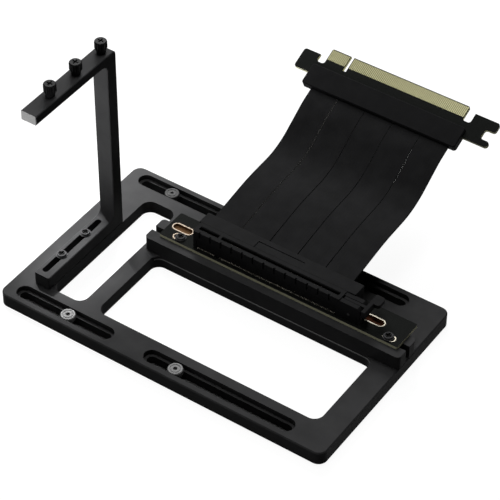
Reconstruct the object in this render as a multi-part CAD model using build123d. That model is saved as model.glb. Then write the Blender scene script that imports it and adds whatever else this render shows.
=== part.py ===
from build123d import *
from math import cos, radians, sin
import os

# Vertical card mount with a x16 riser cable, in millimetres.
# The origin is on the plate's underside, right below the middle of the card slot.
# +X runs along the slot to its latch, +Y to the back, where the ribbon leaves, and +Z up.

# Driving dimensions of the plate
plate_thickness = 7.7
plate_corner = 5.0
plate_edge = 0.6
fan_hole_spacing = 105.0
slot_width = 8.8
slot_margin = 3.35
slot_through_width = 5.4
counterbore_depth = 3.0
slot_inset = 6.8
left_slot_length = 60.7
slot_spacing = 19.9
right_slot_length = 89.6
slot_end_margin = 21.0
front_frame = 17.6
back_frame = 19.5
right_frame = 13.9
left_window_inset = 20.7
left_window_width = 19.8
crossbar_width = 9.1
wide_window_depth = 51.5
window_corner = 5.5

# Driving dimensions of the fixing screws in the plate's slots
moving_gap = 0.3
slot_screw_shank = 4.0
slot_screw_socket = 2.0
slot_screw_socket_depth = 0.8
slot_screw_ring = 5.6
slot_screw_ring_width = 0.4
slot_screw_ring_depth = 0.25
slot_screw_chamfer = 0.4
front_left_screw_run = 32.2
front_right_screw_run = 18.8
back_left_screw_run = 21.5
back_right_screw_run = 47.0

# Driving dimensions of the card bracket
bracket_width = 9.4
foot_thickness = 7.65
foot_length = 55.7
post_thickness = 7.5
arm_thickness = 5.35
arm_overhang = 0.6
bracket_opening = 102.45
bracket_front_inset = 16.1
bracket_inner_radius = 4.0
bracket_outer_radius = 2.5
bracket_edge = 0.4
foot_slot_width = 3.5
foot_slot_offset = 0.9
foot_slot_front_margin = 3.0
foot_slot_rear_margin = 5.0
bracket_travel_back = 13.2
foot_screw_spacing = 20.0

# Driving dimensions of the small screws
small_shank = 2.9
small_head = 5.0
small_head_height = 0.9
small_flange = 5.9
small_flange_height = 0.5
small_thread_depth = 5.5
thread_clearance = 0.05
hole_spare_depth = 0.5
recess_width = 0.9
recess_span = 3.4
recess_depth = 0.8

# Driving dimensions of the thumbscrews
thumb_pitch = 20.32
thumb_rear_inset = 5.8
thumb_head = 6.6
thumb_head_height = 4.5
thumb_neck = 4.9
thumb_neck_height = 2.8
thumb_shank = 3.5
thumb_shank_length = 6.35
thumb_grooves = 18
thumb_groove_depth = 0.25
thumb_chamfer = 0.5

# Driving dimensions of the rail and the slot board
rail_length = 155.7
rail_depth = 16.9
rail_height = 8.4
rail_corner = 2.2
notch_width = 3.4
notch_spare = 1.2
board_left_inset = 6.2
board_right_inset = 4.0
board_setback = 4.75
board_depth = 19.6
board_thickness = 1.6
board_corner = 1.0
left_screw_inset = 11.1
right_screw_inset = 7.4
screw_oval_length = 7.3
screw_oval_shift = 1.0
left_oval_length = 12.7
right_oval_length = 12.7
oval_width = 5.4
left_oval_inset = 1.7
right_oval_inset = 13.3
oval_row = 9.9
rim_width = 0.6
rim_height = 0.1

# Driving dimensions of the card slot, from the card edge that it takes
finger_pitch = 1.0
short_fingers = 11
long_fingers = 71
edge_lead = 0.65
key_notch = 1.9
slot_side_clearance = 0.2
key_width = 1.6
card_slot_width = 1.7
card_slot_depth = 8.5
housing_left_inset = 19.9
housing_front_inset = 2.25
housing_width = 7.5
housing_height = 11.2
housing_end_wall = 2.0
housing_corner = 0.5
lead_in = 0.45
band_height = 5.4
band_recess = 0.55
rib_count = 13
rib_pitch = 6.6
rib_first = 1.7
rib_groove_width = 1.0
rib_groove_height = 4.0
rib_groove_depth = 0.9
cavity_width = 4.4
cavity_top = 1.5
cavity_floor = 2.0
foot_channel = 0.5

# Driving dimensions of the contacts
contact_width = 0.6
contact_thickness = 0.3
contact_foot_length = 0.5
contact_bend_height = 6.4
contact_reach = 0.75
contact_tip_height = 1.4
contact_tip_return = 0.35

# Driving dimensions of the latch and its cradle
cradle_length = 12.3
cradle_drop = 0.5
cradle_slit = 2.4
cradle_floor = 1.4
cradle_corner = 1.5
pin_diameter = 1.6
pin_clearance = 0.05
pin_inset = 5.6
pin_height = 4.0
blade_hub = 2.4
hook_reach = 4.6
hook_height = 4.8
blade_top = 6.6
arm_under = 3.3
tab_gap = 0.9
tab_bar_thickness = 2.4
tab_bar_height = 4.0
tab_front_reach = 4.2
tab_rear_reach = 10.8
paddle_width = 6.8
paddle_reach = 5.4
paddle_thickness = 2.2
paddle_corner = 1.6

# Driving dimensions of the shell behind the slot
end_shell_left = 1.1
end_shell_right = 5.0
end_shell_depth = 8.35
end_shell_edge = 0.5
groove_inset = 33.7
groove_run = 28.4
groove_setback = 5.2
groove_width = 0.6
groove_depth = 0.4

# Driving dimensions of the ribbon
strip_count = 5
strip_pitch = 17.08
strip_gap = 0.5
ribbon_thickness = 1.2
ribbon_inset = 2.9
ribbon_cover = 0.3
first_run = (29.5, 5.1)
second_run = (27.8, 1.2)
straight_end = 9.3
first_bend = 120.0
second_bend = 40.0
third_bend = 40.0

# Driving dimensions of the plug
plug_tilt = 24.0
plug_run = 88.7
plug_rise = 27.1
plug_side_margin = 4.8
plug_offset = 1.3
plug_shell_depth = 13.0
plug_shell_thickness = 4.8
plug_shell_corner = 1.6
plug_shell_edge = 0.5
plug_board_setback = 3.0
tongue_chamfer = 0.6
tongue_tip = 25.4
key_notch_depth = 9.4
left_ear_outer = 14.6
left_ear_inner = 4.6
left_ear_root = 7.6
left_ear_tip = 19.8
left_notch_root = 15.3
right_notch_width = 4.6
right_ear_outer = 19.6
right_ear_tip = 23.0
right_ear_root = 7.6
right_notch_root = 16.8
hook_mouth = 5.8
hook_bottom = 11.2
hook_cut = 5.7
ear_corner = 1.6
notch_corner = 1.5
finger_width = 0.7
finger_length = 6.4
finger_tip_gap = 0.5
finger_thickness = 0.05

# Places worked out from the driving dimensions
plate_length = slot_inset + left_slot_length + slot_spacing + right_slot_length + slot_end_margin
plate_width = fan_hole_spacing + slot_width + 2 * slot_margin
short_edge = short_fingers * finger_pitch + edge_lead
long_edge = long_fingers * finger_pitch + edge_lead
card_edge = short_edge + key_notch + long_edge
housing_length = card_edge + 2 * slot_side_clearance + 2 * housing_end_wall
right = rail_length - board_left_inset - housing_left_inset - housing_length / 2
left = right - plate_length
housing_y = 0.0
front = -(front_frame + wide_window_depth + board_setback + housing_front_inset + housing_width / 2)
back = front + plate_width
deck = plate_thickness

left_window_x0 = left + left_window_inset
left_window_x1 = left_window_x0 + left_window_width
wide_window_x0 = left_window_x1 + crossbar_width
wide_window_x1 = right - right_frame
window_y0 = front + front_frame
left_window_y1 = back - back_frame
wide_window_y1 = window_y0 + wide_window_depth

bracket_x1 = left_window_x0
bracket_x0 = bracket_x1 - bracket_width
bracket_x = (bracket_x0 + bracket_x1) / 2
foot_front = front + bracket_front_inset
post_front = foot_front + foot_length
bracket_rear = post_front + post_thickness
foot_top = deck + foot_thickness
arm_bottom = foot_top + bracket_opening
arm_top = arm_bottom + arm_thickness
foot_slot_x = bracket_x - foot_slot_offset
foot_slot_y0 = foot_front + foot_slot_front_margin
foot_slot_y1 = post_front - foot_slot_rear_margin
foot_screw_front_y = foot_slot_y0 + foot_slot_width / 2 + bracket_travel_back
foot_screw_rear_y = foot_screw_front_y + foot_screw_spacing
thumb_last_y = bracket_rear - thumb_rear_inset

rail_x1 = right
rail_x0 = rail_x1 - rail_length
rail_y0 = wide_window_y1
rail_y = rail_y0 + rail_depth / 2
rail_y1 = rail_y0 + rail_depth
rail_top = deck + rail_height
board_x0 = rail_x0 + board_left_inset
board_x1 = rail_x1 - board_right_inset
board_y0 = rail_y0 + board_setback
board_y1 = board_y0 + board_depth
board_top = rail_top + board_thickness
left_screw_x = board_x0 + left_screw_inset
right_screw_x = board_x1 - right_screw_inset
left_oval_x = board_x0 + left_oval_inset + left_oval_length / 2
right_oval_x = board_x1 - right_oval_inset - right_oval_length / 2
oval_y = board_y0 + oval_row

housing_x0 = -housing_length / 2
housing_x1 = housing_length / 2
slot_x0 = housing_x0 + housing_end_wall
slot_x1 = housing_x1 - housing_end_wall
card_x0 = slot_x0 + slot_side_clearance
key_x = card_x0 + short_edge + key_notch / 2
housing_y0 = housing_y - housing_width / 2
housing_y1 = housing_y + housing_width / 2
housing_top = board_top + housing_height

cradle_x1 = housing_x1 + cradle_length
cradle_top = housing_top - cradle_drop
pin_x = housing_x1 + pin_inset
pin_z = board_top + pin_height
tab_x0 = cradle_x1 + tab_gap
tab_x1 = tab_x0 + tab_bar_thickness
tab_top = pin_z + blade_top

end_shell_x0 = housing_x0 - end_shell_left
end_shell_x1 = housing_x1 + end_shell_right
end_shell_y0 = housing_y1
end_shell_y1 = end_shell_y0 + end_shell_depth
ribbon_x0 = housing_x0 + ribbon_inset
ribbon_start_z = housing_top - ribbon_cover
plug_y = end_shell_y1 + plug_run
plug_z = housing_top + plug_rise
ribbon_width = strip_count * strip_pitch
plug_x = ribbon_x0 + ribbon_width / 2 - plug_offset
plug_shell_length = ribbon_width + 2 * plug_side_margin
plug_mid = -plug_shell_thickness / 2


# Helpers for blocks, rounded plates and fasteners
def block(x0, x1, y0, y1, z0, z1):
    """A box from its lowest to its highest corner."""
    centre = Pos((x0 + x1) / 2, (y0 + y1) / 2, (z0 + z1) / 2)
    return centre * Box(x1 - x0, y1 - y0, z1 - z0)


def rounded_block(x0, x1, y0, y1, z0, z1, radius):
    """A box with its four upright edges rounded."""
    outline = RectangleRounded(x1 - x0, y1 - y0, radius)
    return Pos((x0 + x1) / 2, (y0 + y1) / 2, z0) * extrude(outline, z1 - z0)


def oval_block(x0, x1, y, width, z0, z1):
    """A bar along X with round ends, from end to end."""
    outline = SlotOverall(x1 - x0, width)
    return Pos((x0 + x1) / 2, y, z0) * extrude(outline, z1 - z0)


def cross_recess(top):
    """The crossed cut of a screw's head, down from its top."""
    middle = Pos(0, 0, top - recess_depth / 2)
    first = Box(recess_span, recess_width, recess_depth)
    second = Box(recess_width, recess_span, recess_depth)
    return middle * (first + second)


def pan_screw(grip):
    """A pan screw with a thin flange under its head, standing on z = 0."""
    head_edge = small_flange_height + small_head_height / 2
    head_top = small_flange_height + small_head_height
    thread_end = -(grip + small_thread_depth)
    outline = Polyline(
        (0, thread_end),
        (small_shank / 2, thread_end),
        (small_shank / 2, 0),
        (small_flange / 2, 0),
        (small_flange / 2, small_flange_height),
        (small_head / 2, small_flange_height),
        (small_head / 2, head_edge),
    )
    dome = TangentArc((small_head / 2, head_edge), (recess_span / 2, head_top), tangent=(0, 1))
    closing = Polyline((recess_span / 2, head_top), (0, head_top), (0, thread_end))
    profile = Plane.XZ * make_face([outline, dome, closing])
    return revolve(profile, Axis.Z) - cross_recess(head_top)


# Plate
def slot_rows():
    """Each slot's left end, length and row, in the order of its screw."""
    left_end = left + slot_inset
    right_end = left_end + left_slot_length + slot_spacing
    front_row = front + slot_margin + slot_width / 2
    back_row = front_row + fan_hole_spacing
    return [
        (left_end, left_slot_length, front_row, front_left_screw_run),
        (right_end, right_slot_length, front_row, front_right_screw_run),
        (left_end, left_slot_length, back_row, back_left_screw_run),
        (right_end, right_slot_length, back_row, back_right_screw_run),
    ]


def make_plate():
    plate = rounded_block(left, right, front, back, 0, deck, plate_corner)
    rim = plate.faces().sort_by(Axis.Z)[-1].outer_wire().edges()
    plate = chamfer(rim, plate_edge)
    plate -= rounded_block(
        left_window_x0, left_window_x1, window_y0, left_window_y1, 0, deck, window_corner
    )
    plate -= rounded_block(
        wide_window_x0, wide_window_x1, window_y0, wide_window_y1, 0, deck, window_corner
    )
    ledge = (slot_width - slot_through_width) / 2
    for start, length, row, _ in slot_rows():
        end = start + length
        plate -= oval_block(start, end, row, slot_width, deck - counterbore_depth, deck)
        plate -= oval_block(start + ledge, end - ledge, row, slot_through_width, 0, deck)
    hole_depth = small_thread_depth + hole_spare_depth
    hole = Cylinder(small_shank / 2 + thread_clearance, hole_depth)
    screw_places = [
        (foot_slot_x, foot_screw_front_y),
        (foot_slot_x, foot_screw_rear_y),
        (left_screw_x, rail_y),
        (right_screw_x, rail_y),
    ]
    for x, y in screw_places:
        plate -= Pos(x, y, deck - hole_depth / 2) * hole
    return plate


def make_slot_screw():
    """A flat head in the counterbore and a shank through the slot, standing on the ledge."""
    head = slot_width / 2 - moving_gap
    head_height = counterbore_depth - moving_gap
    shank_end = -(plate_thickness - counterbore_depth - moving_gap)
    shank_middle = Pos(0, 0, shank_end / 2)
    screw = shank_middle * Cylinder(slot_screw_shank / 2, -shank_end)
    disc = Pos(0, 0, head_height / 2) * Cylinder(head, head_height)
    disc = chamfer(disc.faces().sort_by(Axis.Z)[-1].edges(), slot_screw_chamfer)
    ring_outer = Cylinder(slot_screw_ring / 2, slot_screw_ring_depth)
    ring_inner = Cylinder(slot_screw_ring / 2 - slot_screw_ring_width, slot_screw_ring_depth)
    disc -= Pos(0, 0, head_height - slot_screw_ring_depth / 2) * (ring_outer - ring_inner)
    socket = RegularPolygon(slot_screw_socket / 2, 6)
    disc -= Pos(0, 0, head_height - slot_screw_socket_depth) * extrude(
        socket, slot_screw_socket_depth
    )
    return screw + disc


# Card bracket and its screws
def make_bracket():
    outline = Polyline(
        (foot_front, deck),
        (bracket_rear, deck),
        (bracket_rear, arm_top),
        (foot_front - arm_overhang, arm_top),
        (foot_front - arm_overhang, arm_bottom),
        (post_front, arm_bottom),
        (post_front, foot_top),
        (foot_front, foot_top),
        close=True,
    )
    profile = make_face(outline)
    corners = profile.vertices()
    inner = [v for v in corners if abs(v.X - post_front) < plate_edge]
    profile = fillet(inner, bracket_inner_radius)
    outer = [v for v in profile.vertices() if v.X > bracket_rear - plate_edge and v.Y > arm_bottom]
    profile = fillet(outer, bracket_outer_radius)
    bracket = Pos(bracket_x0, 0, 0) * extrude(Plane.YZ * profile, bracket_width)
    sides = bracket.faces().filter_by(Axis.X)
    bracket = chamfer(sides.edges(), bracket_edge)
    foot_slot = SlotOverall(foot_slot_y1 - foot_slot_y0, foot_slot_width, rotation=90)
    foot_slot_y = (foot_slot_y0 + foot_slot_y1) / 2
    bracket -= Pos(foot_slot_x, foot_slot_y, deck) * extrude(foot_slot, foot_thickness)
    hole_depth = thumb_shank_length + hole_spare_depth
    hole = Cylinder(thumb_shank / 2 + thread_clearance, hole_depth)
    for y in thumb_rows():
        bracket -= Pos(bracket_x, y, arm_top - hole_depth / 2) * hole
    return bracket


def thumb_rows():
    """The thumbscrews' places along the arm, front one first."""
    return [thumb_last_y - step * thumb_pitch for step in (2, 1, 0)]


def make_thumbscrew():
    """Shank, neck and grooved head with a crossed cut, standing on the arm at z = 0."""
    head_top = thumb_neck_height + thumb_head_height
    shank = Pos(0, 0, -thumb_shank_length / 2) * Cylinder(thumb_shank / 2, thumb_shank_length)
    neck = Pos(0, 0, thumb_neck_height / 2) * Cylinder(thumb_neck / 2, thumb_neck_height)
    tips = []
    for step in range(2 * thumb_grooves):
        turn = radians(180.0 * step / thumb_grooves)
        reach = thumb_head / 2 - thumb_groove_depth * (step % 2)
        tips.append((reach * cos(turn), reach * sin(turn)))
    head = extrude(make_face(Polyline(*tips, close=True)), thumb_head_height)
    cone_low = thumb_head / 2 + thumb_head_height - thumb_chamfer
    cone_high = thumb_head / 2 - thumb_chamfer
    cone = Pos(0, 0, thumb_head_height / 2) * Cone(cone_low, cone_high, thumb_head_height)
    head = Pos(0, 0, thumb_neck_height) * (head & cone)
    return shank + neck + head - cross_recess(head_top)


# Rail, board and their screws
def make_rail():
    rail = rounded_block(rail_x0, rail_x1, rail_y0, rail_y1, deck, rail_top, rail_corner)
    left_end = left_screw_x + notch_width / 2 + notch_spare
    right_end = right_screw_x - notch_width / 2 - notch_spare
    rail -= oval_block(rail_x0 - notch_width, left_end, rail_y, notch_width, deck, rail_top)
    rail -= oval_block(right_end, rail_x1 + notch_width, rail_y, notch_width, deck, rail_top)
    return rail


def oval_places():
    """Centre, length and width outside the rim of each oval hole in the board."""
    screw_oval_width = notch_width + 2 * rim_width
    return [
        (left_oval_x, oval_y, left_oval_length, oval_width),
        (right_oval_x, oval_y, right_oval_length, oval_width),
        (left_screw_x - screw_oval_shift, rail_y, screw_oval_length, screw_oval_width),
        (right_screw_x + screw_oval_shift / 2, rail_y, screw_oval_length, screw_oval_width),
    ]


def make_board():
    board = rounded_block(board_x0, board_x1, board_y0, board_y1, rail_top, board_top, board_corner)
    for x, y, length, width in oval_places():
        half = length / 2 - rim_width
        board -= oval_block(x - half, x + half, y, width - 2 * rim_width, rail_top, board_top)
    return board


def make_rims():
    """The plated rims of the oval holes, each ending where the latch cradle stands on it."""
    under_cradle = block(housing_x0, cradle_x1, housing_y0, housing_y1, board_top, board_top + rim_height)
    rims = []
    for x, y, length, width in oval_places():
        outer = SlotOverall(length, width)
        inner = SlotOverall(length - 2 * rim_width, width - 2 * rim_width)
        rims.append(Pos(x, y, board_top) * extrude(outer - inner, rim_height) - under_cradle)
    return Compound(children=rims)


# Slot housing with its key, ribs and latch cradle
def make_housing():
    body = rounded_block(
        housing_x0, housing_x1, housing_y0, housing_y1, board_top, housing_top, housing_corner
    )
    band_bottom = housing_top - band_height
    body -= block(slot_x0, slot_x1, housing_y0, housing_y0 + band_recess, board_top, band_bottom)
    groove_bottom = housing_top - rib_groove_height
    for step in range(rib_count):
        x = slot_x0 + rib_first + step * rib_pitch
        groove = block(
            x, x + rib_groove_width, housing_y0, housing_y0 + rib_groove_depth, groove_bottom, housing_top
        )
        body -= groove
    cradle_x0 = housing_x1 - housing_corner
    cradle_side = Polyline(
        (cradle_x0, board_top),
        (cradle_x1, board_top),
        (cradle_x1, cradle_top - cradle_corner),
        (cradle_x1 - cradle_corner, cradle_top),
        (cradle_x0, cradle_top),
        close=True,
    )
    cradle_profile = Plane.XZ * make_face(cradle_side)
    cradle = Pos(0, housing_y, 0) * extrude(cradle_profile, housing_width / 2, both=True)
    body += cradle
    slit_floor = board_top + cradle_floor
    half_slit = cradle_slit / 2
    body -= block(
        housing_x1, cradle_x1, housing_y - half_slit, housing_y + half_slit, slit_floor, housing_top
    )
    body -= Pos(pin_x, housing_y, pin_z) * Rot(90, 0, 0) * Cylinder(pin_diameter / 2, housing_width)
    half_slot = card_slot_width / 2
    slot_floor = housing_top - card_slot_depth
    card_slot = block(
        slot_x0, slot_x1, housing_y - half_slot, housing_y + half_slot, slot_floor, housing_top
    )
    mouth = make_face(
        Polyline(
            (housing_y - half_slot - lead_in, housing_top),
            (housing_y + half_slot + lead_in, housing_top),
            (housing_y + half_slot, housing_top - lead_in),
            (housing_y - half_slot, housing_top - lead_in),
            close=True,
        )
    )
    card_slot += Pos(slot_x0, 0, 0) * extrude(Plane.YZ * mouth, slot_x1 - slot_x0)
    half_cavity = cavity_width / 2
    channel_top = board_top + foot_channel
    rows = block(
        slot_x0, slot_x1, housing_y - half_cavity, housing_y + half_cavity,
        board_top + cavity_floor, housing_top - cavity_top,
    )
    for side in (-1, 1):
        near = housing_y + side * (half_cavity - contact_thickness)
        far = housing_y + side * half_cavity
        low, high = sorted((near, far))
        rows += block(slot_x0, slot_x1, low, high, board_top, housing_top - cavity_top)
        low, high = sorted((near, housing_y + side * housing_width / 2))
        rows += block(slot_x0, slot_x1, low, high, board_top, channel_top)
    cavity = card_slot + rows
    key = block(key_x - key_width / 2, key_x + key_width / 2, housing_y0, housing_y1, board_top, housing_top)
    return body - (cavity - key)


def contact_places():
    """The contacts' centres along the card edge, from its left end."""
    first = edge_lead / 2 + finger_pitch / 2
    short = [first + step * finger_pitch for step in range(short_fingers)]
    long_start = short_edge + key_notch + first
    return short + [long_start + step * finger_pitch for step in range(long_fingers)]


def make_contacts(side):
    """One row of bent strips, each with a foot on the board and a spring towards the card."""
    wall = cavity_width / 2
    inner = wall - contact_thickness
    foot_end = housing_width / 2 - band_recess + contact_foot_length
    bend = board_top + contact_bend_height
    tip = bend + contact_tip_height
    crown = wall - contact_reach
    outline = [
        (foot_end, board_top),
        (foot_end, board_top + contact_thickness),
        (wall, board_top + contact_thickness),
        (wall, bend),
        (crown, tip),
        (crown + contact_tip_return, tip + contact_tip_return),
        (crown, tip + contact_tip_return),
        (crown - contact_thickness, tip),
        (inner, bend),
        (inner, board_top),
    ]
    points = [(housing_y + side * y, z) for y, z in outline]
    profile = Plane.YZ * make_face(Polyline(*points, close=True))
    strip = extrude(profile, contact_width / 2, both=True)
    return Compound(children=[Pos(card_x0 + x, 0, 0) * strip for x in contact_places()])


# Latch and its pin
def make_latch():
    arm_end = tab_x0 - pin_x
    outline = Polyline(
        (-blade_hub, 0),
        (-blade_hub, hook_height - blade_hub / 2),
        (-hook_reach, hook_height),
        (-hook_reach, blade_top),
        (arm_end + tab_bar_thickness / 2, blade_top),
        (arm_end + tab_bar_thickness / 2, arm_under),
        (blade_hub, arm_under - blade_hub / 2),
        (blade_hub, 0),
        close=True,
    )
    side_view = make_face(outline) + Circle(blade_hub)
    side_view -= Circle(pin_diameter / 2 + pin_clearance)
    thickness = cradle_slit - 2 * moving_gap
    blade = Pos(pin_x, housing_y, pin_z) * extrude(Plane.XZ * side_view, thickness / 2, both=True)
    bar = block(
        tab_x0, tab_x1, housing_y - tab_front_reach, housing_y + tab_rear_reach,
        tab_top - tab_bar_height, tab_top,
    )
    bar = fillet(bar.edges().filter_by(Axis.Y).group_by(Axis.X)[-1], tab_bar_thickness / 4)
    paddle_y1 = housing_y + tab_rear_reach
    paddle = block(
        tab_x0, tab_x0 + paddle_reach, paddle_y1 - paddle_width, paddle_y1,
        tab_top - paddle_thickness, tab_top,
    )
    paddle = fillet(paddle.edges().filter_by(Axis.Z).group_by(Axis.X)[-1], paddle_corner)
    return blade + bar + paddle


def make_pin():
    return Pos(pin_x, housing_y, pin_z) * Rot(90, 0, 0) * Cylinder(pin_diameter / 2, housing_width)


# Shell behind the slot
def make_end_shell():
    shell = rounded_block(
        end_shell_x0, end_shell_x1, end_shell_y0, end_shell_y1, board_top, housing_top, end_shell_edge
    )
    top = shell.faces().sort_by(Axis.Z)[-1]
    rear = top.edges().filter_by(Axis.X).sort_by(Axis.Y)[-1]
    shell = chamfer(rear, ribbon_cover / 2)
    groove_x = end_shell_x0 + groove_inset
    groove_y = end_shell_y0 + groove_setback
    groove_bottom = housing_top - groove_depth
    shell -= block(groove_x, groove_x + groove_width, end_shell_y0, groove_y, groove_bottom, housing_top)
    shell -= block(
        groove_x, groove_x + groove_run, groove_y - groove_width, groove_y, groove_bottom, housing_top
    )
    return shell


# Plug, drawn flat with its length along X, its depth along Y and its top at z = 0
def place_plug(flat):
    """Turns a flat piece up by the plug's tilt and sets it at the ribbon's end."""
    return Pos(plug_x, plug_y, plug_z) * Rot(plug_tilt, 0, 0) * flat


def plug_outline():
    """The plug board's outline: two ears, a shoulder each side and the keyed tongue."""
    tongue_left = -card_edge / 2
    tongue_right = card_edge / 2
    notch_left = tongue_left + short_edge
    notch_right = notch_left + key_notch
    notch_top = tongue_tip - key_notch_depth
    outer_left = tongue_left - left_ear_outer
    outer_right = tongue_right + right_ear_outer
    hook_top = hook_bottom + hook_mouth
    hook_inner = outer_right - hook_cut
    return [
        (outer_left, left_ear_root),
        (outer_left, left_ear_tip),
        (tongue_left - left_ear_inner, left_ear_tip),
        (tongue_left - left_ear_inner, left_notch_root),
        (tongue_left, left_notch_root),
        (tongue_left, tongue_tip - tongue_chamfer),
        (tongue_left + tongue_chamfer, tongue_tip),
        (notch_left, tongue_tip),
        (notch_left, notch_top),
        (notch_right, notch_top),
        (notch_right, tongue_tip),
        (tongue_right - tongue_chamfer, tongue_tip),
        (tongue_right, tongue_tip - tongue_chamfer),
        (tongue_right, right_notch_root),
        (tongue_right + right_notch_width, right_notch_root),
        (tongue_right + right_notch_width, right_ear_tip),
        (outer_right, right_ear_tip),
        (outer_right, hook_top),
        (hook_inner, hook_top),
        (hook_inner, hook_bottom),
        (outer_right, hook_bottom),
        (outer_right, right_ear_root),
        (plug_shell_length / 2 - plug_shell_corner, right_ear_root),
        (plug_shell_length / 2 - plug_shell_corner, plug_board_setback),
        (plug_shell_corner - plug_shell_length / 2, plug_board_setback),
        (plug_shell_corner - plug_shell_length / 2, left_ear_root),
    ]


def plug_board_blank():
    face = make_face(Polyline(*plug_outline(), close=True))
    roots = face.vertices().filter_by_position(Axis.Y, left_notch_root, right_notch_root)
    face = fillet([v for v in roots if abs(v.X) > card_edge / 2 - edge_lead], notch_corner)
    ends = [v for v in face.vertices() if abs(v.X) > plug_shell_length / 2]
    face = fillet(ends, ear_corner)
    return Pos(0, 0, plug_mid - board_thickness / 2) * extrude(face, board_thickness)


def make_plug_shell(low, high):
    """One half of the plug's shell, hollowed where the board lies in it."""
    half = rounded_block(
        -plug_shell_length / 2, plug_shell_length / 2, 0, plug_shell_depth, low, high, plug_shell_corner
    )
    outside = half.faces().sort_by(Axis.Z)[-1] if high > plug_mid else half.faces().sort_by(Axis.Z)[0]
    half = chamfer(outside.outer_wire().edges(), plug_shell_edge)
    return place_plug(half - plug_board_blank())


def make_fingers(low):
    """One row of flat fingers on the tongue, from its lowest plane up."""
    end = tongue_tip - finger_tip_gap
    middle = Pos(0, end - finger_length / 2, low + finger_thickness / 2)
    finger = middle * Box(finger_width, finger_length, finger_thickness)
    row = [Pos(x - card_edge / 2, 0, 0) * finger for x in contact_places()]
    return place_plug(Compound(children=row))


# Ribbon
def ribbon_profile():
    """The ribbon's side view: its upper line from the shell to the plug, and its thickness below."""
    rise = radians(plug_tilt)
    drop = (plug_shell_thickness - ribbon_thickness) / 2
    end = (plug_y + drop * sin(rise), plug_z - drop * cos(rise))
    start = (end_shell_y1, ribbon_start_z)
    crest = (start[0] + first_run[0], start[1] + first_run[1])
    dip = (crest[0] + second_run[0], crest[1] + second_run[1])
    last = (end[0] - straight_end * cos(rise), end[1] - straight_end * sin(rise))
    upper = FilletPolyline(start, crest, dip, last, end, radius=[first_bend, second_bend, third_bend])
    lower = offset(upper, ribbon_thickness, side=Side.RIGHT)
    return make_face(lower)


def make_strip(profile, step):
    x0 = ribbon_x0 + step * strip_pitch + strip_gap / 2
    strip = Pos(x0, 0, 0) * extrude(Plane.YZ * profile, strip_pitch - strip_gap)
    behind = block(
        x0, x0 + strip_pitch, end_shell_y0, end_shell_y1, board_top, housing_top
    )
    return strip - behind


# Writing each piece to its own file
def save(name, shape):
    export_step(shape, f"parts/{name}.step")


os.makedirs("parts", exist_ok=True)

save("base_plate", make_plate())
for number, (start, length, row, run) in enumerate(slot_rows(), 1):
    seat = Pos(start + run, row, deck - counterbore_depth)
    save(f"slot_screw_{number}", seat * make_slot_screw())

save("card_bracket", make_bracket())
save("foot_screw_front", Pos(foot_slot_x, foot_screw_front_y, foot_top) * pan_screw(foot_thickness))
save("foot_screw_rear", Pos(foot_slot_x, foot_screw_rear_y, foot_top) * pan_screw(foot_thickness))
for number, y in enumerate(thumb_rows(), 1):
    save(f"thumbscrew_{number}", Pos(bracket_x, y, arm_top) * make_thumbscrew())

board_seat = board_top + rim_height
board_grip = board_seat - deck
save("riser_rail", make_rail())
save("riser_board", make_board())
save("plated_rims", make_rims())
save("board_screw_left", Pos(left_screw_x, rail_y, board_seat) * pan_screw(board_grip))
save("board_screw_right", Pos(right_screw_x, rail_y, board_seat) * pan_screw(board_grip))

save("slot_housing", make_housing())
save("slot_contacts_front", make_contacts(-1))
save("slot_contacts_rear", make_contacts(1))
save("card_latch", make_latch())
save("latch_pin", make_pin())
save("slot_end_shell", make_end_shell())

side_profile = ribbon_profile()
for step in range(strip_count):
    save(f"ribbon_strip_{step + 1}", make_strip(side_profile, step))

save("edge_shell_top", make_plug_shell(plug_mid, 0))
save("edge_shell_bottom", make_plug_shell(-plug_shell_thickness, plug_mid))
save("edge_board", place_plug(plug_board_blank()))
save("edge_fingers_top", make_fingers(plug_mid + board_thickness / 2))
save("edge_fingers_bottom", make_fingers(plug_mid - board_thickness / 2 - finger_thickness))
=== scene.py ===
import math
import bpy
from mathutils import Matrix, Vector


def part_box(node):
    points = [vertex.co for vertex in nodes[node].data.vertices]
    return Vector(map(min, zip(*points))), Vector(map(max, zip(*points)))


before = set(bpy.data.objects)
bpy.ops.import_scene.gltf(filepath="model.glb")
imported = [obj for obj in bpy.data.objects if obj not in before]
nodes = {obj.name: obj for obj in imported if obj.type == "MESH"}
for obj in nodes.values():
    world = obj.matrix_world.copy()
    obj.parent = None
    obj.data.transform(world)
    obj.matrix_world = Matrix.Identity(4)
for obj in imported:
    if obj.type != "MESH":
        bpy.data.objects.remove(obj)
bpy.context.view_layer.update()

scene = bpy.context.scene
MM = 0.001
FAR = 1.0                # metres: past every side of the object

# Colours, as linear red, green and blue
METAL_DARK = (0.036, 0.036, 0.0367)
METAL_LIGHT = (0.05, 0.05, 0.051)
# Painted highlight: a pale line on the window's back wall, below the rail
WINDOW_EDGE_HIGHLIGHT = (0.5, 0.5, 0.5)
# Painted highlight: the arm's front end, pale grey for the light it reflects
ARM_END_HIGHLIGHT = (0.34, 0.34, 0.34)
COPPER_BROWN = (0.17, 0.092, 0.044)
# Painted shade: the same copper, darkened, for the holes right of the middle
COPPER_PAINTED_SHADE = (0.07, 0.024, 0.012)
SLOT_BLACK = (0.0108, 0.0108, 0.0112)
PLUG_BLACK = (0.0078, 0.0078, 0.0082)
MASK_DARK = (0.006, 0.0065, 0.006)
MASK_LIGHT = (0.011, 0.0118, 0.011)
LAMINATE_DARK = (0.8, 0.79, 0.52)
LAMINATE_LIGHT = (0.95, 0.93, 0.68)
FINGER_GOLD = (0.35, 0.336, 0.186)
RIM_PALE = (0.8, 0.74, 0.6)
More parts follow.
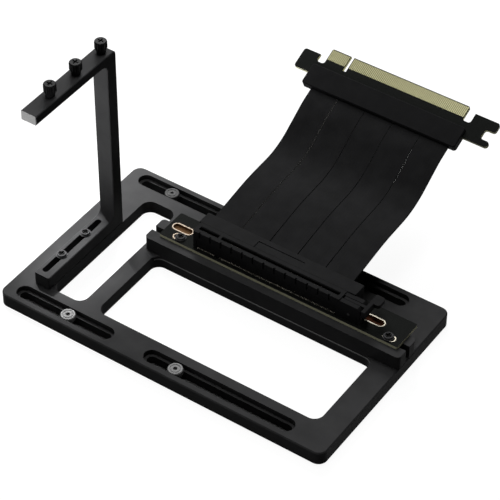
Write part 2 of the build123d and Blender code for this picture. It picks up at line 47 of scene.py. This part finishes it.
# Painted shade: the same plated rims left of the middle, darker
RIM_PAINTED_SHADE = (0.34, 0.27, 0.2)
CONTACT_GOLD = (0.8, 0.75, 0.64)
SLEEVE_DARK = (0.0098, 0.0098, 0.0102)
SLEEVE_LIGHT = (0.0145, 0.0145, 0.015)
# Painted highlight and painted shade on the ribbon strips' right edges
RIBBON_EDGE_HIGHLIGHT = (0.7, 0.68, 0.64)
RIBBON_EDGE_SHADE = (0.002, 0.002, 0.002)
FRONT_STEEL = 0.08       # grey of the fixing screws at the front
BACK_STEEL_PAINTED_SHADE = 0.016       # and of the ones at the back, the same steel darkened as painted shade
# Painted shade: the dark inside of the slot screws' hex sockets
HEX_SOCKET_SHADE = (0.02, 0.02, 0.02)
PAN_SCREW = (0.065, 0.065, 0.067)
# Painted shade: the dark inside of the pan screws' cross recesses
CROSS_SOCKET_SHADE = (0.008, 0.008, 0.008)
THUMBSCREW = (0.006, 0.006, 0.0062)
PIN_STEEL = (0.04, 0.04, 0.04)

# Patterns, in cells or waves a metre
METAL_GRAIN = 5200
METAL_CLOUDS = 60
MOULD_GRAIN = 6500
MOULD_MOTTLE = 180
TURNED_RINGS = 1100
STEEL_STAINS = 700
BOARD_WEAVE = 2500
BOARD_FIBRES = 900
GOLD_STAINS = 1500
SLEEVE_WIRES = 190
SLEEVE_MOTTLE = 130

# Places of the finishes and of the painted light and shade, in metres
HOLE_MARGIN = 0.5 * MM   # from the board's outline to where its holes may begin
RAIL_SKIN = 0.05 * MM    # depth of the rail's top that shows through the board's holes
END_SKIN = 0.2 * MM      # depth of the arm's front end that carries the painted highlight
END_HEIGHT = 12 * MM     # height of that end below the bracket's top
EDGE_INSET = 8 * MM      # of the painted highlight line from each end of the rail
EDGE_REACH = 5.5 * MM    # of that line in front of the rail
EDGE_LAP = 0.1 * MM      # and behind the rail's front
EDGE_TOP = 1.6 * MM      # its top and its foot below the rail's underside
EDGE_FOOT = 2.4 * MM
# Radii of the painted shade in the screws' sockets and head grooves
HEX_RADIUS = 1.2 * MM
RING_INNER = 2.4 * MM
RING_OUTER = 2.9 * MM
CROSS_RADIUS = 1.7 * MM
PLUG_TILT = math.radians(24.0)
FACES = 0.6              # least value of facing() for a surface that looks that way

# Light and floor
ROOM_LIGHT = 0.015       # strength of the world as light
WHITE = 1.0              # and as the background that is shown
FLOOR_GLOW = 0.93        # strength of the floor as it is shown
FLOOR_GREY = 0.15
FLOOR_HALF = 6.0
FLOOR_DROP = 0.2 * MM
FRAME_FRONT = 17 * MM    # depth of the plate's front frame, which holds two slots
FRAME_BACK = 19 * MM     # depth of its back frame, which holds the other two
RIM = 3 * MM             # least width of plate outside a slot


# Small helpers for node materials
def new_material(name, metallic=0.0, specular=0.5):
    """A material with one Principled shader: returns the material, its node tree and the shader."""
    material = bpy.data.materials.new(name)
    material.use_nodes = True
    tree = material.node_tree
    shader = tree.nodes["Principled BSDF"]
    shader.inputs["Metallic"].default_value = metallic
    shader.inputs["Specular IOR Level"].default_value = specular
    return material, tree, shader


def place(tree, centre=(0, 0, 0), stretch=(1, 1, 1)):
    """Object coordinates, centred on a point and stretched."""
    coordinates = tree.nodes.new("ShaderNodeTexCoord")
    mapping = tree.nodes.new("ShaderNodeMapping")
    mapping.vector_type = "TEXTURE"
    mapping.inputs["Location"].default_value = centre
    mapping.inputs["Scale"].default_value = [1 / value for value in stretch]
    tree.links.new(coordinates.outputs["Object"], mapping.inputs["Vector"])
    return mapping.outputs["Vector"]


def noise(tree, vector, scale, detail=3.0, roughness=0.5):
    """Soft noise of that many cells a metre."""
    node = tree.nodes.new("ShaderNodeTexNoise")
    node.inputs["Scale"].default_value = scale
    node.inputs["Detail"].default_value = detail
    node.inputs["Roughness"].default_value = roughness
    tree.links.new(vector, node.inputs["Vector"])
    return node.outputs["Fac"]


def ramp(tree, value, dark, light, start=0.3, end=0.7):
    """A colour that runs from dark at the value start to light at the value end."""
    node = tree.nodes.new("ShaderNodeValToRGB")
    stops = ((start, dark), (end, light))
    for element, (spot, colour) in zip(node.color_ramp.elements, stops):
        element.position = spot
        element.color = (*colour, 1.0)
    tree.links.new(value, node.inputs["Fac"])
    return node.outputs["Color"]


def shade(colour, share):
    """A darker colour: that share of it."""
    return tuple(share * value for value in colour)


def spread(tree, value, low, high):
    """A value from 0 to 1 taken into the range low to high."""
    node = tree.nodes.new("ShaderNodeMapRange")
    node.inputs["To Min"].default_value = low
    node.inputs["To Max"].default_value = high
    tree.links.new(value, node.inputs["Value"])
    return node.outputs["Result"]


def bump(tree, height, shader, distance, strength):
    """Bump of that depth in metres on the shader."""
    node = tree.nodes.new("ShaderNodeBump")
    node.inputs["Distance"].default_value = distance
    node.inputs["Strength"].default_value = strength
    tree.links.new(height, node.inputs["Height"])
    tree.links.new(node.outputs["Normal"], shader.inputs["Normal"])


def math_node(tree, operation, first, second=None, clamp=False):
    """One Math node on values or sockets."""
    node = tree.nodes.new("ShaderNodeMath")
    node.operation = operation
    node.use_clamp = clamp
    for slot, value in enumerate((first, second)):
        if value is None:
            continue
        if isinstance(value, (int, float)):
            node.inputs[slot].default_value = value
        else:
            tree.links.new(value, node.inputs[slot])
    return node.outputs["Value"]


def mix_colour(tree, factor, first, second):
    """Two colours or colour sockets mixed by a factor socket."""
    node = tree.nodes.new("ShaderNodeMix")
    node.data_type = "RGBA"
    tree.links.new(factor, node.inputs["Factor"])
    for name, value in (("A", first), ("B", second)):
        socket = [s for s in node.inputs if s.name == name and s.type == "RGBA"][0]
        if isinstance(value, tuple):
            socket.default_value = (*value, 1.0)
        else:
            tree.links.new(value, socket)
    return [s for s in node.outputs if s.type == "RGBA"][0]


def facing(tree, direction):
    """How far the surface faces a direction: 1 towards it, 0 across it."""
    coordinates = tree.nodes.new("ShaderNodeTexCoord")
    dot = tree.nodes.new("ShaderNodeVectorMath")
    dot.operation = "DOT_PRODUCT"
    dot.inputs[1].default_value = direction
    tree.links.new(coordinates.outputs["Normal"], dot.inputs[0])
    return dot.outputs["Value"]


def inside(tree, vector, low, high):
    """1 inside a box of object coordinates and 0 outside it."""
    axes = tree.nodes.new("ShaderNodeSeparateXYZ")
    tree.links.new(vector, axes.inputs["Vector"])
    result = None
    for axis, least, most in zip(axes.outputs, low, high):
        above = math_node(tree, "GREATER_THAN", axis, least)
        below = math_node(tree, "LESS_THAN", axis, most)
        both = math_node(tree, "MULTIPLY", above, below)
        result = both if result is None else math_node(tree, "MULTIPLY", result, both)
    return result


# Finishes
def coated_metal(name, patches=()):
    """Satin black anodised metal: fine grain, faint cloudiness, uneven gloss.

    Each of patches is (box, colour): another colour inside a box, a pair of corners.
    """
    material, tree, shader = new_material(name, specular=0.004)
    vector = place(tree)
    fine = noise(tree, vector, METAL_GRAIN, 2.0)
    broad = noise(tree, vector, METAL_CLOUDS, 4.0)
    colour = ramp(tree, broad, METAL_DARK, METAL_LIGHT)
    for box, tone in patches:
        cut = ramp(tree, fine, shade(tone, 0.75), tone)
        colour = mix_colour(tree, inside(tree, vector, *box), colour, cut)
    tree.links.new(colour, shader.inputs["Base Color"])
    tree.links.new(spread(tree, fine, 0.28, 0.40), shader.inputs["Roughness"])
    bump(tree, fine, shader, 0.03 * MM, 0.5)
    return material


def moulded_plastic(name, base):
    """Black moulding: fine spark-eroded grain over a faint mottle."""
    material, tree, shader = new_material(name, specular=0.016)
    grain = noise(tree, place(tree), MOULD_GRAIN, 3.0, 0.6)
    mottle = noise(tree, place(tree), MOULD_MOTTLE, 3.0)
    colour = ramp(tree, mottle, shade(base, 0.75), base)
    tree.links.new(colour, shader.inputs["Base Color"])
    tree.links.new(spread(tree, grain, 0.49, 0.63), shader.inputs["Roughness"])
    bump(tree, grain, shader, 0.03 * MM, 0.6)
    return material


def turned_steel(name, centre, base, gloss, metallic=0.9, specular=0.5, shade_bands=()):
    """Metal turned about an upright axis through a point: fine rings about it.

    Gloss is the middle of its roughness. Each of shade_bands is (inner, outer, colour): a band
    of that colour between two distances from the axis: painted shade in a socket or groove.
    """
    material, tree, shader = new_material(name, metallic, specular)
    vector = place(tree, centre)
    flat = tree.nodes.new("ShaderNodeVectorMath")
    flat.operation = "MULTIPLY"
    flat.inputs[1].default_value = (1, 1, 0)
    tree.links.new(vector, flat.inputs[0])
    reach = tree.nodes.new("ShaderNodeVectorMath")
    reach.operation = "LENGTH"
    tree.links.new(flat.outputs["Vector"], reach.inputs[0])
    distance = reach.outputs["Value"]
    rings = tree.nodes.new("ShaderNodeTexWave")
    rings.wave_type = "RINGS"
    rings.rings_direction = "Z"
    rings.inputs["Scale"].default_value = TURNED_RINGS
    rings.inputs["Distortion"].default_value = 0.6
    tree.links.new(vector, rings.inputs["Vector"])
    ring = rings.outputs["Fac"]
    colour = ramp(tree, noise(tree, vector, STEEL_STAINS, 3.0), shade(base, 0.8), base)
    for inner, outer, tone in shade_bands:
        past = math_node(tree, "GREATER_THAN", distance, inner)
        short = math_node(tree, "LESS_THAN", distance, outer)
        colour = mix_colour(tree, math_node(tree, "MULTIPLY", past, short), colour, tone)
    tree.links.new(colour, shader.inputs["Base Color"])
    tree.links.new(spread(tree, ring, gloss - 0.07, gloss + 0.08), shader.inputs["Roughness"])
    bump(tree, ring, shader, 0.02 * MM, 0.4)
    return material


def board_laminate(name, upright, holes=None):
    """Black solder mask on both faces of a board and the yellowish laminate on its cut edges.

    Inside the box holes, a pair of corners, the cut edges are the copper-brown walls of holes.
    """
    material, tree, shader = new_material(name, specular=0.01)
    vector = place(tree)
    weave = noise(tree, vector, BOARD_WEAVE, 2.0)
    mask = ramp(tree, weave, MASK_DARK, MASK_LIGHT, 0.35, 0.65)
    fibre = noise(tree, place(tree, stretch=(1, 1, 7)), BOARD_FIBRES, 4.0)
    cut = ramp(tree, fibre, LAMINATE_DARK, LAMINATE_LIGHT)
    if holes is not None:
        cut = mix_colour(tree, inside(tree, vector, *holes), cut, COPPER_BROWN)
    up = math_node(tree, "ABSOLUTE", facing(tree, upright))
    flat = math_node(tree, "GREATER_THAN", up, FACES)
    tree.links.new(mix_colour(tree, flat, cut, mask), shader.inputs["Base Color"])
    tree.links.new(spread(tree, weave, 0.5, 0.62), shader.inputs["Roughness"])
    bump(tree, weave, shader, 0.02 * MM, 0.5)
    return material


def gold_plating(name, base, metallic=0.6, left=None):
    """Thin gold plating with small stains in it: left is another colour left of the middle, here
    painted shade.
    """
    material, tree, shader = new_material(name, metallic, 0.1)
    stain = noise(tree, place(tree), GOLD_STAINS, 3.0)
    colour = ramp(tree, stain, shade(base, 0.8), base, end=0.65)
    if left is not None:
        left_half = inside(tree, place(tree), (-FAR, -FAR, -FAR), (0, FAR, FAR))
        colour = mix_colour(tree, left_half, colour, left)
    tree.links.new(colour, shader.inputs["Base Color"])
    tree.links.new(spread(tree, stain, 0.25, 0.42), shader.inputs["Roughness"])
    return material


def ribbon_sleeve(name, edge_paint):
    """Satin black sleeve: faint lines of the wires under it, a soft mottle and a right edge in
    edge_paint, which is a painted highlight on the first strip and painted shade on the others.
    """
    material, tree, shader = new_material(name, specular=0.011)
    wires = tree.nodes.new("ShaderNodeTexWave")
    wires.bands_direction = "X"
    wires.inputs["Scale"].default_value = SLEEVE_WIRES
    tree.links.new(place(tree), wires.inputs["Vector"])
    mottle = noise(tree, place(tree), SLEEVE_MOTTLE, 4.0)
    colour = ramp(tree, mottle, SLEEVE_DARK, SLEEVE_LIGHT)
    edge = math_node(tree, "GREATER_THAN", facing(tree, (1, 0, 0)), FACES)
    tree.links.new(mix_colour(tree, edge, colour, edge_paint), shader.inputs["Base Color"])
    tree.links.new(spread(tree, mottle, 0.55, 0.66), shader.inputs["Roughness"])
    bump(tree, wires.outputs["Fac"], shader, 0.03 * MM, 0.5)
    return material


def paint(names, material):
    """Gives CAD nodes their finish."""
    for name in names:
        slots = nodes[name].data.materials
        slots.clear()
        slots.append(material)


def middle(name):
    """The middle of a CAD node's box."""
    low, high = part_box(name)
    return tuple((low + high) / 2)


# The plate, the rail and the bracket
rail_low, rail_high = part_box("riser_rail")
# Painted highlight: a pale line along the window's back wall, just below the rail's front
window_highlight_box = (
    (rail_low[0] + EDGE_INSET, rail_low[1] - EDGE_REACH, rail_low[2] - EDGE_FOOT),
    (rail_high[0] - EDGE_INSET, rail_low[1] + EDGE_LAP, rail_low[2] - EDGE_TOP),
)
paint(["base_plate"], coated_metal("coated_metal", [(window_highlight_box, WINDOW_EDGE_HIGHLIGHT)]))
board_low, board_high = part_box("riser_board")
left, right = board_low[0] + HOLE_MARGIN, board_high[0] - HOLE_MARGIN
front, back = board_low[1] + HOLE_MARGIN, board_high[1] - HOLE_MARGIN
rail_top = rail_high[2] - RAIL_SKIN
left_holes = ((left, front, rail_top), (0, back, FAR))
right_holes = ((0, front, rail_top), (right, back, FAR))
# The holes right of the middle are the same copper, darkened as painted shade
rail_patches = [(left_holes, COPPER_BROWN), (right_holes, COPPER_PAINTED_SHADE)]
paint(["riser_rail"], coated_metal("rail_metal", rail_patches))
arm_low, arm_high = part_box("card_bracket")
# Painted highlight: the arm's front end is painted pale grey for the light it reflects
arm_end_highlight_box = ((-FAR, -FAR, arm_high[2] - END_HEIGHT), (FAR, arm_low[1] + END_SKIN, FAR))
paint(["card_bracket"], coated_metal("bracket_metal", [(arm_end_highlight_box, ARM_END_HIGHLIGHT)]))

# The boards, their plating and the mouldings
board_holes = ((left, front, 0), (right, back, FAR))
plug_normal = (0.0, -math.sin(PLUG_TILT), math.cos(PLUG_TILT))
paint(["riser_board"], board_laminate("slot_board_laminate", (0, 0, 1), board_holes))
paint(["edge_board"], board_laminate("plug_board_laminate", plug_normal))
slot_moulding = moulded_plastic("black_moulding", SLOT_BLACK)
paint(["slot_housing", "card_latch", "slot_end_shell"], slot_moulding)
plug_moulding = moulded_plastic("plug_moulding", PLUG_BLACK)
paint(["edge_shell_top", "edge_shell_bottom"], plug_moulding)
fingers = gold_plating("pale_gold", FINGER_GOLD, 0.3)
paint(["edge_fingers_top", "edge_fingers_bottom"], fingers)
# The rims left of the middle are darkened as painted shade
paint(["plated_rims"], gold_plating("rim_gold", RIM_PALE, 0.1, RIM_PAINTED_SHADE))
contacts = gold_plating("contact_metal", CONTACT_GOLD)
paint(["slot_contacts_front", "slot_contacts_rear"], contacts)

# The screws and the pin
for number in range(1, 5):
    screw = f"slot_screw_{number}"
    # The screws at the back are darkened as painted shade
    grey = BACK_STEEL_PAINTED_SHADE if middle(screw)[1] > 0 else FRONT_STEEL
    steel = (grey, grey, grey)
    # Painted shade: a dark disc in the hex socket and a darker ring in the head's groove
    bands = ((0.0, HEX_RADIUS, HEX_SOCKET_SHADE), (RING_INNER, RING_OUTER, shade(steel, 0.7)))
    finish = turned_steel(f"satin_steel_{number}", middle(screw), steel, 0.55, shade_bands=bands)
    paint([screw], finish)
# Painted shade: a dark disc over each pan screw's cross recess
cross = ((0.0, CROSS_RADIUS, CROSS_SOCKET_SHADE),)
for screw in ("foot_screw_front", "foot_screw_rear", "board_screw_left", "board_screw_right"):
    finish = turned_steel(f"{screw}_finish", middle(screw), PAN_SCREW, 0.45, 0.0, 0.02, cross)
    paint([screw], finish)
for number in range(1, 4):
    screw = f"thumbscrew_{number}"
    paint([screw], turned_steel(f"{screw}_finish", middle(screw), THUMBSCREW, 0.35, 0.0, 0.03))
paint(["latch_pin"], turned_steel("pin_steel", middle("latch_pin"), PIN_STEEL, 0.4))

# The ribbon: a painted highlight on the right edge seen in the first gap, painted shade on the
# right edges in the other gaps
paint(["ribbon_strip_1"], ribbon_sleeve("ribbon_sleeve_left", RIBBON_EDGE_HIGHLIGHT))
other_strips = [f"ribbon_strip_{number}" for number in range(2, 6)]
paint(other_strips, ribbon_sleeve("ribbon_sleeve", RIBBON_EDGE_SHADE))


# Camera, from a fit to the photograph's edges
def add_camera():
    """The photograph's camera: its place and its three axes as rows, right, down and forward."""
    place_mm = Vector((466.20, -703.95, 827.99))
    right = Vector((0.82464, 0.56564, 0.00518))
    down = Vector((0.39013, -0.56209, -0.72929))
    forward = Vector((-0.4096, 0.60342, -0.68419))
    focal_pixels = 2292.16
    image_pixels = 500
    data = bpy.data.cameras.new("camera")
    data.sensor_width = 36.0
    data.lens = data.sensor_width * focal_pixels / image_pixels
    data.clip_end = 20.0
    camera = bpy.data.objects.new("camera", data)
    axes = Matrix((right, -down, -forward)).transposed()
    camera.matrix_world = Matrix.Translation(place_mm * MM) @ axes.to_4x4()
    scene.collection.objects.link(camera)
    scene.camera = camera


# Lamps, world and floor
def hang(name, data, spot, aim, watts):
    """Puts a lamp at a spot, aimed at a point."""
    data.energy = watts
    lamp = bpy.data.objects.new(name, data)
    lamp.location = spot
    lamp.rotation_euler = (Vector(aim) - Vector(spot)).to_track_quat("-Z", "Y").to_euler()
    scene.collection.objects.link(lamp)


def add_panel(name, spot, aim, size, watts):
    """A rectangular soft lamp."""
    data = bpy.data.lights.new(name, "AREA")
    data.shape = "RECTANGLE"
    data.size, data.size_y = size
    hang(name, data, spot, aim, watts)


def add_spot(name, spot, aim, cone, watts):
    """A soft-edged spot on one part of the object: cone is its full angle in degrees."""
    data = bpy.data.lights.new(name, "SPOT")
    data.spot_size = math.radians(cone)
    data.spot_blend = 1.0
    data.shadow_soft_size = 0.02
    hang(name, data, spot, aim, watts)


def shown_rays(tree):
    """1 for the rays that show the background: camera, glossy and transmission rays."""
    path = tree.nodes.new("ShaderNodeLightPath")
    seen = math_node(tree, "ADD", path.outputs["Is Camera Ray"], path.outputs["Is Glossy Ray"])
    return math_node(tree, "ADD", seen, path.outputs["Is Transmission Ray"], clamp=True)


def add_world():
    """A dim grey room for light, and white where the camera, gloss and glass show it."""
    world = bpy.data.worlds.new("studio")
    scene.world = world
    world.use_nodes = True
    tree = world.node_tree
    background = tree.nodes["Background"]
    background.inputs["Color"].default_value = (1, 1, 1, 1)
    strength = spread(tree, shown_rays(tree), ROOM_LIGHT, WHITE)
    tree.links.new(strength, background.inputs["Strength"])


def add_floor():
    """A wide pale floor: white to the camera, with the object's soft shadow on it.

    Under the plate's front and back frame it is left unlit, so that the slots look in the shade.
    """
    signs = ((-1, -1), (1, -1), (1, 1), (-1, 1))
    corners = [(x * FLOOR_HALF, y * FLOOR_HALF, -FLOOR_DROP) for x, y in signs]
    mesh = bpy.data.meshes.new("floor")
    mesh.from_pydata(corners, [], [(0, 1, 2, 3)])
    floor = bpy.data.objects.new("floor", mesh)
    scene.collection.objects.link(floor)
    material = bpy.data.materials.new("pale_floor")
    material.use_nodes = True
    tree = material.node_tree
    tree.nodes.clear()
    output = tree.nodes.new("ShaderNodeOutputMaterial")
    diffuse = tree.nodes.new("ShaderNodeBsdfDiffuse")
    diffuse.inputs["Color"].default_value = (FLOOR_GREY, FLOOR_GREY, FLOOR_GREY, 1)
    emission = tree.nodes.new("ShaderNodeEmission")
    emission.inputs["Color"].default_value = (1, 1, 1, 1)
    coordinates = tree.nodes.new("ShaderNodeTexCoord")
    plate_low, plate_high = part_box("base_plate")
    left, right = plate_low[0] + 2 * RIM, plate_high[0] - 2 * RIM
    front_strip = (plate_low[1] + RIM, plate_low[1] + FRAME_FRONT)
    back_strip = (plate_high[1] - FRAME_BACK, plate_high[1] - RIM)
    glow = spread(tree, shown_rays(tree), 0.0, FLOOR_GLOW)
    for near, far in (front_strip, back_strip):
        under = inside(tree, coordinates.outputs["Object"], (left, near, -FAR), (right, far, FAR))
        glow = math_node(tree, "MULTIPLY", glow, math_node(tree, "SUBTRACT", 1.0, under))
    tree.links.new(glow, emission.inputs["Strength"])
    both = tree.nodes.new("ShaderNodeAddShader")
    tree.links.new(diffuse.outputs["BSDF"], both.inputs[0])
    tree.links.new(emission.outputs["Emission"], both.inputs[1])
    tree.links.new(both.outputs["Shader"], output.inputs["Surface"])
    mesh.materials.append(material)


add_camera()
add_world()
add_floor()
add_panel("back_panel", (-0.36, 0.40, 0.45), (-0.08, 0.0, 0.02), (0.32, 0.32), 4.5)
add_panel("front_fill", (-0.9, -1.5, 0.5), (0.0, 0.0, 0.08), (0.6, 0.6), 2.0)
add_panel("top_fill", (-0.1, 0.12, 1.1), (-0.03, 0.0, 0.05), (0.4, 0.5), 4.8)
add_spot("arm_spot", (-0.14, -1.2, 0.118), (-0.1, 0.0, 0.088), 7.0, 61.0)
add_spot("plate_spot", (-0.42, 0.25, 0.5), (-0.12, 0.03, 0.01), 9.0, 37.0)
add_spot("foot_spot", (-0.42, 0.15, 0.5), (-0.1, -0.04, 0.015), 7.0, 47.0)

scene.view_settings.view_transform = "Standard"
